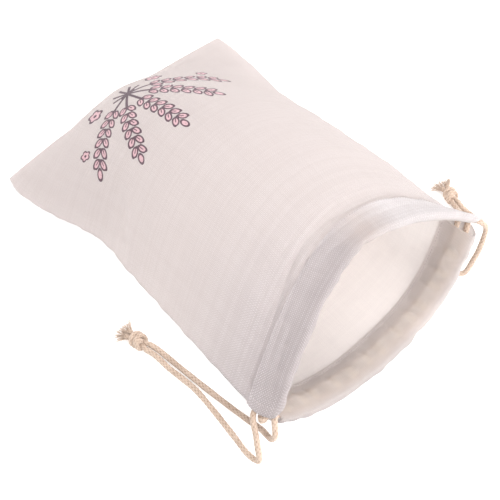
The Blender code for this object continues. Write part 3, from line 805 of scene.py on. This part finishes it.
def wrinkles(side, grid, shares, bodyRows):
    # How far the cloth stands out from its smooth shape, in millimetres.
    gaps = np.linalg.norm(np.diff(grid, axis=0), axis=2).mean(axis=1)
    along = np.concatenate([[0], np.cumsum(gaps)])
    v = np.broadcast_to((along[bodyRows - 1] - along)[:, None], grid.shape[:2])
    u = np.broadcast_to(((shares - 0.5) * 310)[None, :], grid.shape[:2])
    profile = casingProfile()
    reach = np.concatenate([np.full(bodyRows, -1.0), [row[0] for row in profile]])[:, None]
    turned = np.concatenate([np.zeros(bodyRows), [row[2] for row in profile]])[:, None]
    inner = (turned > 0.5).astype(float)
    ends = np.clip(np.minimum(shares, 1 - shares) / 0.03, 0, 1)[None, :]
    result = np.zeros(grid.shape[:2])
    for points, width, height in creases[side]:
        result += creaseHeight(points, width, height, u, v) * (1 - inner)
    x = u + 155
    ripple = (np.sin(x / 2.9 + 1.3 * np.sin(x / 17.0)) * (0.55 + 0.45 * np.sin(x / 23.0 + 1.0))
              + 0.6 * np.sin(x / 5.7 + 2.0 * np.sin(x / 41.0 + 0.7)))
    result += 0.26 * bell(v - 1, 8.0) * ripple * (1 - inner)
    result += 0.30 * np.sin(u / 21 + v / 33 + 1.0) * np.sin(v / 27 - u / 60 + 0.4)
    result += 0.22 * np.sin(u / 9.5 - v / 16 + 2.0) * np.sin(v / 12 + u / 31)
    for number, place in enumerate(puckerPlaces[side]):
        wide = 0.011 + 0.004 * sin(number * 2.3)
        lean = 0.0011 * sin(number * 1.7 + 0.5)
        strength = 0.75 + 0.25 * sin(number * 3.1)
        bump = bell(shares[None, :] - place - lean * np.maximum(reach, 0), wide)
        hem = inner * np.sin(pi * np.clip(reach / 17.0, 0, 1)) ** 0.8
        band = (1 - inner) * (reach > 0) * np.sin(pi * np.clip(reach / 29.0, 0, 1))
        result -= strength * bump * (1.7 * hem + 0.6 * band)
    hemLines = bell(reach + 1.6, 0.8) + bell(reach - 1.8, 0.8)
    result -= 0.30 * hemLines * inner
    rim = np.clip(1 - np.abs(turned * 2 - 1) * 1.2, 0, 1)
    rim = rim + 0.5 * (1 - inner) * np.clip((reach - 14) / 16, 0, 1)
    result += 0.42 * rim * ripple
    result -= 0.40 * bell(v + 0.5, 1.1) * (1 - inner)
    return result * ends


def roundSeams(side, grid, normals, uvs, bodyRows):
    # The last threads of each edge turn in towards the other panel, so the seam is round.
    radius = bagShape["seamRound"]
    towards = np.array([0, 0, -1.0 if side == "front" else 1.0])
    onBody = (np.arange(len(grid)) < bodyRows)[:, None]
    turns = np.radians([35, 65, 88])

    def columnEdge(at, beside):
        out = unit(grid[:, at] - grid[:, beside])
        inward = np.where(onBody, towards, -normals[:, at])
        step = [grid[:, at] + out * radius * sin(t) + inward * radius * (1 - cos(t)) for t in turns]
        shift = [uvs[:, at] + np.array([(1 if at else -1) * radius * t * mm, 0]) for t in turns]
        return step, shift

    leftSteps, leftUvs = columnEdge(0, 1)
    rightSteps, rightUvs = columnEdge(-1, -2)
    grid = np.stack([*leftSteps[::-1], *[grid[:, j] for j in range(grid.shape[1])], *rightSteps], 1)
    uvs = np.stack([*leftUvs[::-1], *[uvs[:, j] for j in range(uvs.shape[1])], *rightUvs], 1)
    out = unit(grid[0] - grid[1])
    rowSteps = [grid[0] + out * radius * sin(t) + towards * radius * (1 - cos(t)) for t in turns]
    rowUvs = [uvs[0] + np.array([0, radius * t * mm]) for t in turns]
    return np.stack([*rowSteps[::-1], *grid]), np.stack([*rowUvs[::-1], *uvs])


front, frontLength = makePanel("front", "frontLinen", linenPrinted)
back, backLength = makePanel("back", "backLinen", linenPlain)
print("panels sewn:", round(frontLength, 1), round(backLength, 1))


# The sewing: short stitches that Geometry Nodes set along each line.
sewing = {"pitch": 3.1, "length": 2.4, "width": 0.52, "thread": screen(208, 200, 202), "seed": 4}
threadLook, threadStart, threadShader = newMaterial("sewingThread", 0.75, 0.2)
twist = noiseOf(threadStart.node("ShaderNodeTexCoord", output=3), 2600.0, 2.0)
threadColour = (twist.smooth(0.35, 0.65) * 0.35).mix(sewing["thread"], linenLook["gap"])
setSurface(threadStart, threadShader, threadColour, twist, 0.6, 0.0001)


def newTree(name, sizes):
    # An empty geometry tree with named inputs for its sizes and its material.
    tree = bpy.data.node_groups.new(name, "GeometryNodeTree")
    tree.interface.new_socket("Geometry", in_out="INPUT", socket_type="NodeSocketGeometry")
    for key, value in sizes.items():
        kind = "NodeSocketInt" if isinstance(value, int) else "NodeSocketFloat"
        tree.interface.new_socket(key, in_out="INPUT", socket_type=kind).default_value = value
    tree.interface.new_socket("Finish", in_out="INPUT", socket_type="NodeSocketMaterial")
    tree.interface.new_socket("Geometry", in_out="OUTPUT", socket_type="NodeSocketGeometry")
    return tree, Wire(tree, tree.nodes.new("NodeGroupInput").outputs[0])


def endTree(tree, start, geometry):
    real = start.node("GeometryNodeRealizeInstances", inputs={0: geometry})
    smooth = start.node("GeometryNodeSetShadeSmooth", inputs={0: real})
    finished = start.node("GeometryNodeSetMaterial",
                          inputs={"Geometry": smooth, "Material": start.of("Finish")})
    out = tree.nodes.new("NodeGroupOutput")
    tree.links.new(finished.socket, out.inputs["Geometry"])


def stitchTree():
    sizes = {"Pitch": 0.003, "Stitch Length": 0.0025, "Thread Width": 0.0006, "Seed": 0}
    tree, start = newTree("stitches", sizes)
    lines = start.node("GeometryNodeMeshToCurve", inputs={"Mesh": start})
    resample = tree.nodes.new("GeometryNodeResampleCurve")
    if "Mode" in resample.inputs:
        resample.inputs["Mode"].default_value = "Length"
    else:
        resample.mode = "LENGTH"
    tree.links.new(lines.socket, resample.inputs["Curve"])
    tree.links.new(start.of("Pitch").socket, resample.inputs["Length"])
    points = Wire(tree, resample.outputs[0])
    facing = start.node("GeometryNodeInputNamedAttribute", {"data_type": "FLOAT_VECTOR"}, {"Name": "facing"})
    along = start.node("FunctionNodeAlignRotationToVector", {"axis": "X"},
                       {"Vector": start.node("GeometryNodeInputTangent")})
    turned = start.node("FunctionNodeAlignRotationToVector", {"axis": "Z", "pivot_axis": "X"},
                        {"Rotation": along, "Vector": facing})
    ball = start.node("GeometryNodeMeshUVSphere", inputs={"Segments": 8, "Rings": 6, "Radius": 0.5})
    uneven = start.node("FunctionNodeRandomValue", {"data_type": "FLOAT"},
                        {2: 0.82, 3: 1.08, "Seed": start.of("Seed")}, 1)
    long, wide = start.of("Stitch Length") * uneven, start.of("Thread Width")
    size = start.node("ShaderNodeCombineXYZ", inputs={0: long, 1: wide, 2: wide})
    placed = start.node("GeometryNodeInstanceOnPoints", inputs={"Points": points, "Instance": ball,
                                                                "Rotation": turned, "Scale": size})
    endTree(tree, start, placed)
    return tree


def grownMesh(name, lines, attributes, tree, sizes, material):
    # Runs a tree over separate lines of points, and keeps the result as a plain mesh.
    vertices, edges = [], []
    for line in lines:
        edges += [(len(vertices) + i, len(vertices) + i + 1) for i in range(len(line) - 1)]
        vertices += [tuple(point) for point in line]
    mesh = bpy.data.meshes.new(name + "Lines")
    mesh.from_pydata(vertices, edges, [])
    for key, (kind, values) in attributes.items():
        field = "vector" if kind == "FLOAT_VECTOR" else "value"
        mesh.attributes.new(key, kind, "POINT").data.foreach_set(field, np.asarray(values, float).ravel())
    holder = bpy.data.objects.new(name + "Lines", mesh)
    scene.collection.objects.link(holder)
    modifier = holder.modifiers.new(name, "NODES")
    modifier.node_group = tree
    for item in tree.interface.items_tree:
        if item.in_out == "INPUT" and item.name in sizes:
            modifier[item.identifier] = sizes[item.name]
        if item.in_out == "INPUT" and item.name == "Finish":
            modifier[item.identifier] = material
    bpy.context.view_layer.update()
    made = bpy.data.meshes.new_from_object(holder.evaluated_get(bpy.context.evaluated_depsgraph_get()))
    holder.modifiers.clear()
    bpy.data.objects.remove(holder)
    made.name = name
    if not made.materials:
        made.materials.append(material)
    piece = bpy.data.objects.new(name, made)
    scene.collection.objects.link(piece)
    return piece


def sewnLines(side):
    grid, normals, bodyRows = surfaces[side]
    profile = casingProfile()
    half = bagShape["cloth"] / 2 + 0.12
    last = grid.shape[1] - 1
    hemRow = bodyRows + min((i for i, row in enumerate(profile) if row[2] == 1.0),
                            key=lambda i: abs(profile[i][0]))
    lines, facing = [], []

    def keep(points, ways):
        lines.append(points * mm)
        facing.extend(ways)

    for row in (bodyRows, hemRow):
        inner = slice(2, last - 1)
        keep(grid[row, inner] + normals[row, inner] * half, normals[row, inner])
    for column in (3, last - 3):            # the casing's open ends are hemmed too
        rows = slice(bodyRows + 1, bodyRows + 18)
        keep(grid[rows, column] + normals[rows, column] * half, normals[rows, column])
    return lines, facing


stitchNodes = stitchTree()
stitchSizes = {"Pitch": sewing["pitch"] * mm, "Stitch Length": sewing["length"] * mm,
               "Thread Width": sewing["width"] * mm, "Seed": sewing["seed"]}
stitching = {}
for side in ("front", "back"):
    lines, facing = sewnLines(side)
    stitching[side] = grownMesh(side + "Stitching", lines, {"facing": ("FLOAT_VECTOR", facing)}, stitchNodes,
                                stitchSizes, threadLook)
print("casings stitched:", {side: len(piece.data.polygons) for side, piece in stitching.items()})


# The knots: both ends of a cord, wound round themselves. A start is a shift and a share of a turn.
winding = {"strand": 2.35, "starts": [(-2.5, 0.2), (2.3, 0.35)], "turns": 1.32, "pitch": 3.2, "lean": 0.42,
           "around": 30, "step": 0.6, "core": 0.92, "pinch": 0.55}


def makeKnot(side):
    knot = knotShapes[side]
    onward, across = knotAxes(knot)
    up = np.array([0, 0, 1.0])
    middle, half, radius = np.array(knot["middle"]), knot["halfLength"], knot["radius"]
    tube = winding["strand"]
    pieces = []

    def local(points):
        points = np.asarray(points, float)
        return middle + points[:, :1] * onward + points[:, 1:2] * across + points[:, 2:3] * up

    turns = np.linspace(0, 1, 90)
    for shift, begin in winding["starts"]:
        angle = 2 * pi * (begin + turns * winding["turns"])
        reach = (radius - tube) * np.minimum(1, np.minimum(turns, 1 - turns) * 7 + 0.25)
        x = shift + (turns - 0.5) * winding["pitch"] + winding["lean"] * reach * np.sin(angle)
        pieces.append(local(np.stack([x, reach * np.cos(angle), reach * np.sin(angle)], 1)))
    for aside in (cordShape["entryAside"], -cordShape["entryAside"]):       # the cord's two ends run through
        t = np.linspace(0, 1, 40)
        x = -half * winding["core"] + t * (2 * half * winding["core"] + 3.0)
        y = aside * (1 - winding["pinch"] * np.sin(pi * t))
        z = (cordShape["entry"] - middle[2]) * (1 - t) + 0.4 * t * np.sign(aside)
        pieces.append(local(np.stack([x, y, z], 1)))
    joined = bmesh.new()
    for line in pieces:
        line = finely(line, winding["step"])
        line[:, 2] = np.maximum(line[:, 2], tube + 0.2)
        part, length = braidedTube("turn", line, tube * 2, winding["around"])
        mesh = part.data
        joined.from_mesh(mesh)
        bpy.data.objects.remove(part)
        bpy.data.meshes.remove(mesh)
    mesh = bpy.data.meshes.new(side + "Knot")
    joined.to_mesh(mesh)
    joined.free()
    mesh.materials.append(cottonCord)
    mesh.shade_smooth()
    piece = bpy.data.objects.new(side + "Knot", mesh)
    scene.collection.objects.link(piece)
    return piece


# The cords' frayed ends: yarns and single fibres that open out in front of each knot.
fraying = {"yarns": 60, "fibres": 120, "yarn": 0.46, "fibre": 0.11, "seed": 11, "sides": 5}


def frayTree():
    tree, start = newTree("frayedEnds", {"Sides": 5})
    lines = start.node("GeometryNodeMeshToCurve", inputs={"Mesh": start})
    thick = start.node("GeometryNodeInputNamedAttribute", {"data_type": "FLOAT"}, {"Name": "thick"})
    circle = start.node("GeometryNodeCurvePrimitiveCircle", {"mode": "RADIUS"},
                        {"Resolution": start.of("Sides"), "Radius": 1.0})
    sized = start.node("GeometryNodeSetCurveRadius", inputs={"Curve": lines, "Radius": thick})
    inputs = {"Curve": sized, "Profile Curve": circle, "Fill Caps": True}
    tube = start.node("GeometryNodeCurveToMesh", inputs=inputs)
    if "Scale" in tube.socket.node.inputs:
        tree.links.new(thick.socket, tube.socket.node.inputs["Scale"])
    endTree(tree, start, tube)
    return tree


def frayedLines(side, number):
    # Each strand starts in the cord's end, opens out and droops to the surface.
    knot = knotShapes[side]
    onward, across = knotAxes(knot)
    random = np.random.default_rng(fraying["seed"] + number)
    lines, thick = [], []
    for i in range(fraying["yarns"] + fraying["fibres"]):
        yarn = i < fraying["yarns"]
        end = 1 if i % 2 else -1                      # two cord ends
        angle, out = random.uniform(0, 2 * pi), sqrt(random.uniform(0, 1)) * 2.0
        first = np.array(knot["middle"]) + onward * (knot["halfLength"] * 0.72)
        first = first + across * (end * 2.3 + out * cos(angle))
        first = first + np.array([0, 0, out * sin(angle) + end * 0.5])
        spread = random.normal(0, 0.30 if yarn else 0.42) + end * 0.22
        rise = random.normal(-0.16, 0.20 if yarn else 0.30)
        length = knot["fray"] * random.uniform(0.75, 1.15 if yarn else 1.3) + knot["halfLength"] * 0.30
        wave, phase = random.uniform(0.2, 0.6 if yarn else 0.9), random.uniform(0, 2 * pi)
        points = []
        for t in np.linspace(0, 1, 8):
            go = length * t
            opened = t ** 1.3 * length
            point = first + onward * go * (1 - 0.25 * abs(spread) * t) + across * (spread * opened)
            point = point + np.array([0, 0, rise * opened])
            point = point + across * wave * t * sin(5 * t + phase)
            point = point + np.array([0, 0, wave * t * cos(4 * t + phase)])
            point[2] = max(point[2], 0.45)
            points.append(point)
        lines.append(np.array(points) * mm)
        base = fraying["yarn" if yarn else "fibre"] * random.uniform(0.8, 1.2)
        thick += [base * mm * (1 - 0.55 * t) for t in np.linspace(0, 1, 8)]
    return lines, thick


frayNodes = frayTree()
knots, frays = {}, {}
for number, side in enumerate(("left", "right")):
    knots[side] = makeKnot(side)
    lines, thick = frayedLines(side, number)
    frays[side] = grownMesh(side + "Fray", lines, {"thick": ("FLOAT", thick)}, frayNodes,
                            {"Sides": fraying["sides"]}, cottonFray)
print("knots tied:", {side: len(piece.data.polygons) for side, piece in frays.items()})

# The floor and the light.
setting = {"half": 3, "level": -0.0004, "paper": (0.93, 0.93, 0.93, 1), "glow": 0.38, "daylight": 0.89}
floorMesh = bpy.data.meshes.new("floor")
corners = [(x * setting["half"], y * setting["half"], setting["level"])
           for x, y in ((-1, -1), (1, -1), (1, 1), (-1, 1))]
floorMesh.from_pydata(corners, [], [(0, 1, 2, 3)])
paper = newMaterial("whitePaper", 0.9, 0.0)[0]
finish(paper).inputs["Base Color"].default_value = setting["paper"]
finish(paper).inputs["Emission Color"].default_value = (1, 1, 1, 1)
finish(paper).inputs["Emission Strength"].default_value = setting["glow"]
floorMesh.materials.append(paper)
floor = bpy.data.objects.new("floor", floorMesh)
scene.collection.objects.link(floor)

lighting = {
    "key": {"place": (1.05, -0.45, 1.15), "size": 0.8, "power": 4.2, "colour": (1.0, 0.99, 0.98)},
    "mouth": {"place": (0.42, -1.30, 0.45), "size": 0.8, "power": 12.0, "colour": (1.0, 0.98, 0.96)},
    "front": {"place": (-0.22, -0.75, 1.15), "size": 0.7, "power": 6.0, "colour": (1.0, 0.99, 0.98)},
    "top": {"place": (0.25, 0.75, 1.25), "size": 1.2, "power": 15.0, "colour": (1.0, 1.0, 1.0)},
}
for name, lamp in lighting.items():
    light = bpy.data.lights.new(name, "AREA")
    light.shape, light.size, light.energy, light.color = "SQUARE", lamp["size"], lamp["power"], lamp["colour"]
    holder = bpy.data.objects.new(name, light)
    scene.collection.objects.link(holder)
    place = Vector(lamp["place"])
    turned = (Vector((0, 0, 0.05)) - place).to_track_quat("-Z", "Y")
    holder.matrix_world = Matrix.Translation(place) @ turned.to_matrix().to_4x4()
world = bpy.data.worlds.new("studio")
world.use_nodes = True
world.node_tree.nodes["Background"].inputs[0].default_value = (1, 1, 1, 1)
world.node_tree.nodes["Background"].inputs[1].default_value = setting["daylight"]
scene.world = world
scene.view_settings.view_transform = "Standard"

for piece in (front, back, *stitching.values(), *cords.values(), *knots.values(), *frays.values()):
    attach(piece, "root")
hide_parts("front_panel")
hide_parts("back_panel")
for side in ("left", "right"):
    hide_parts(side + "_drawstring")
    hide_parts(side + "_knot")
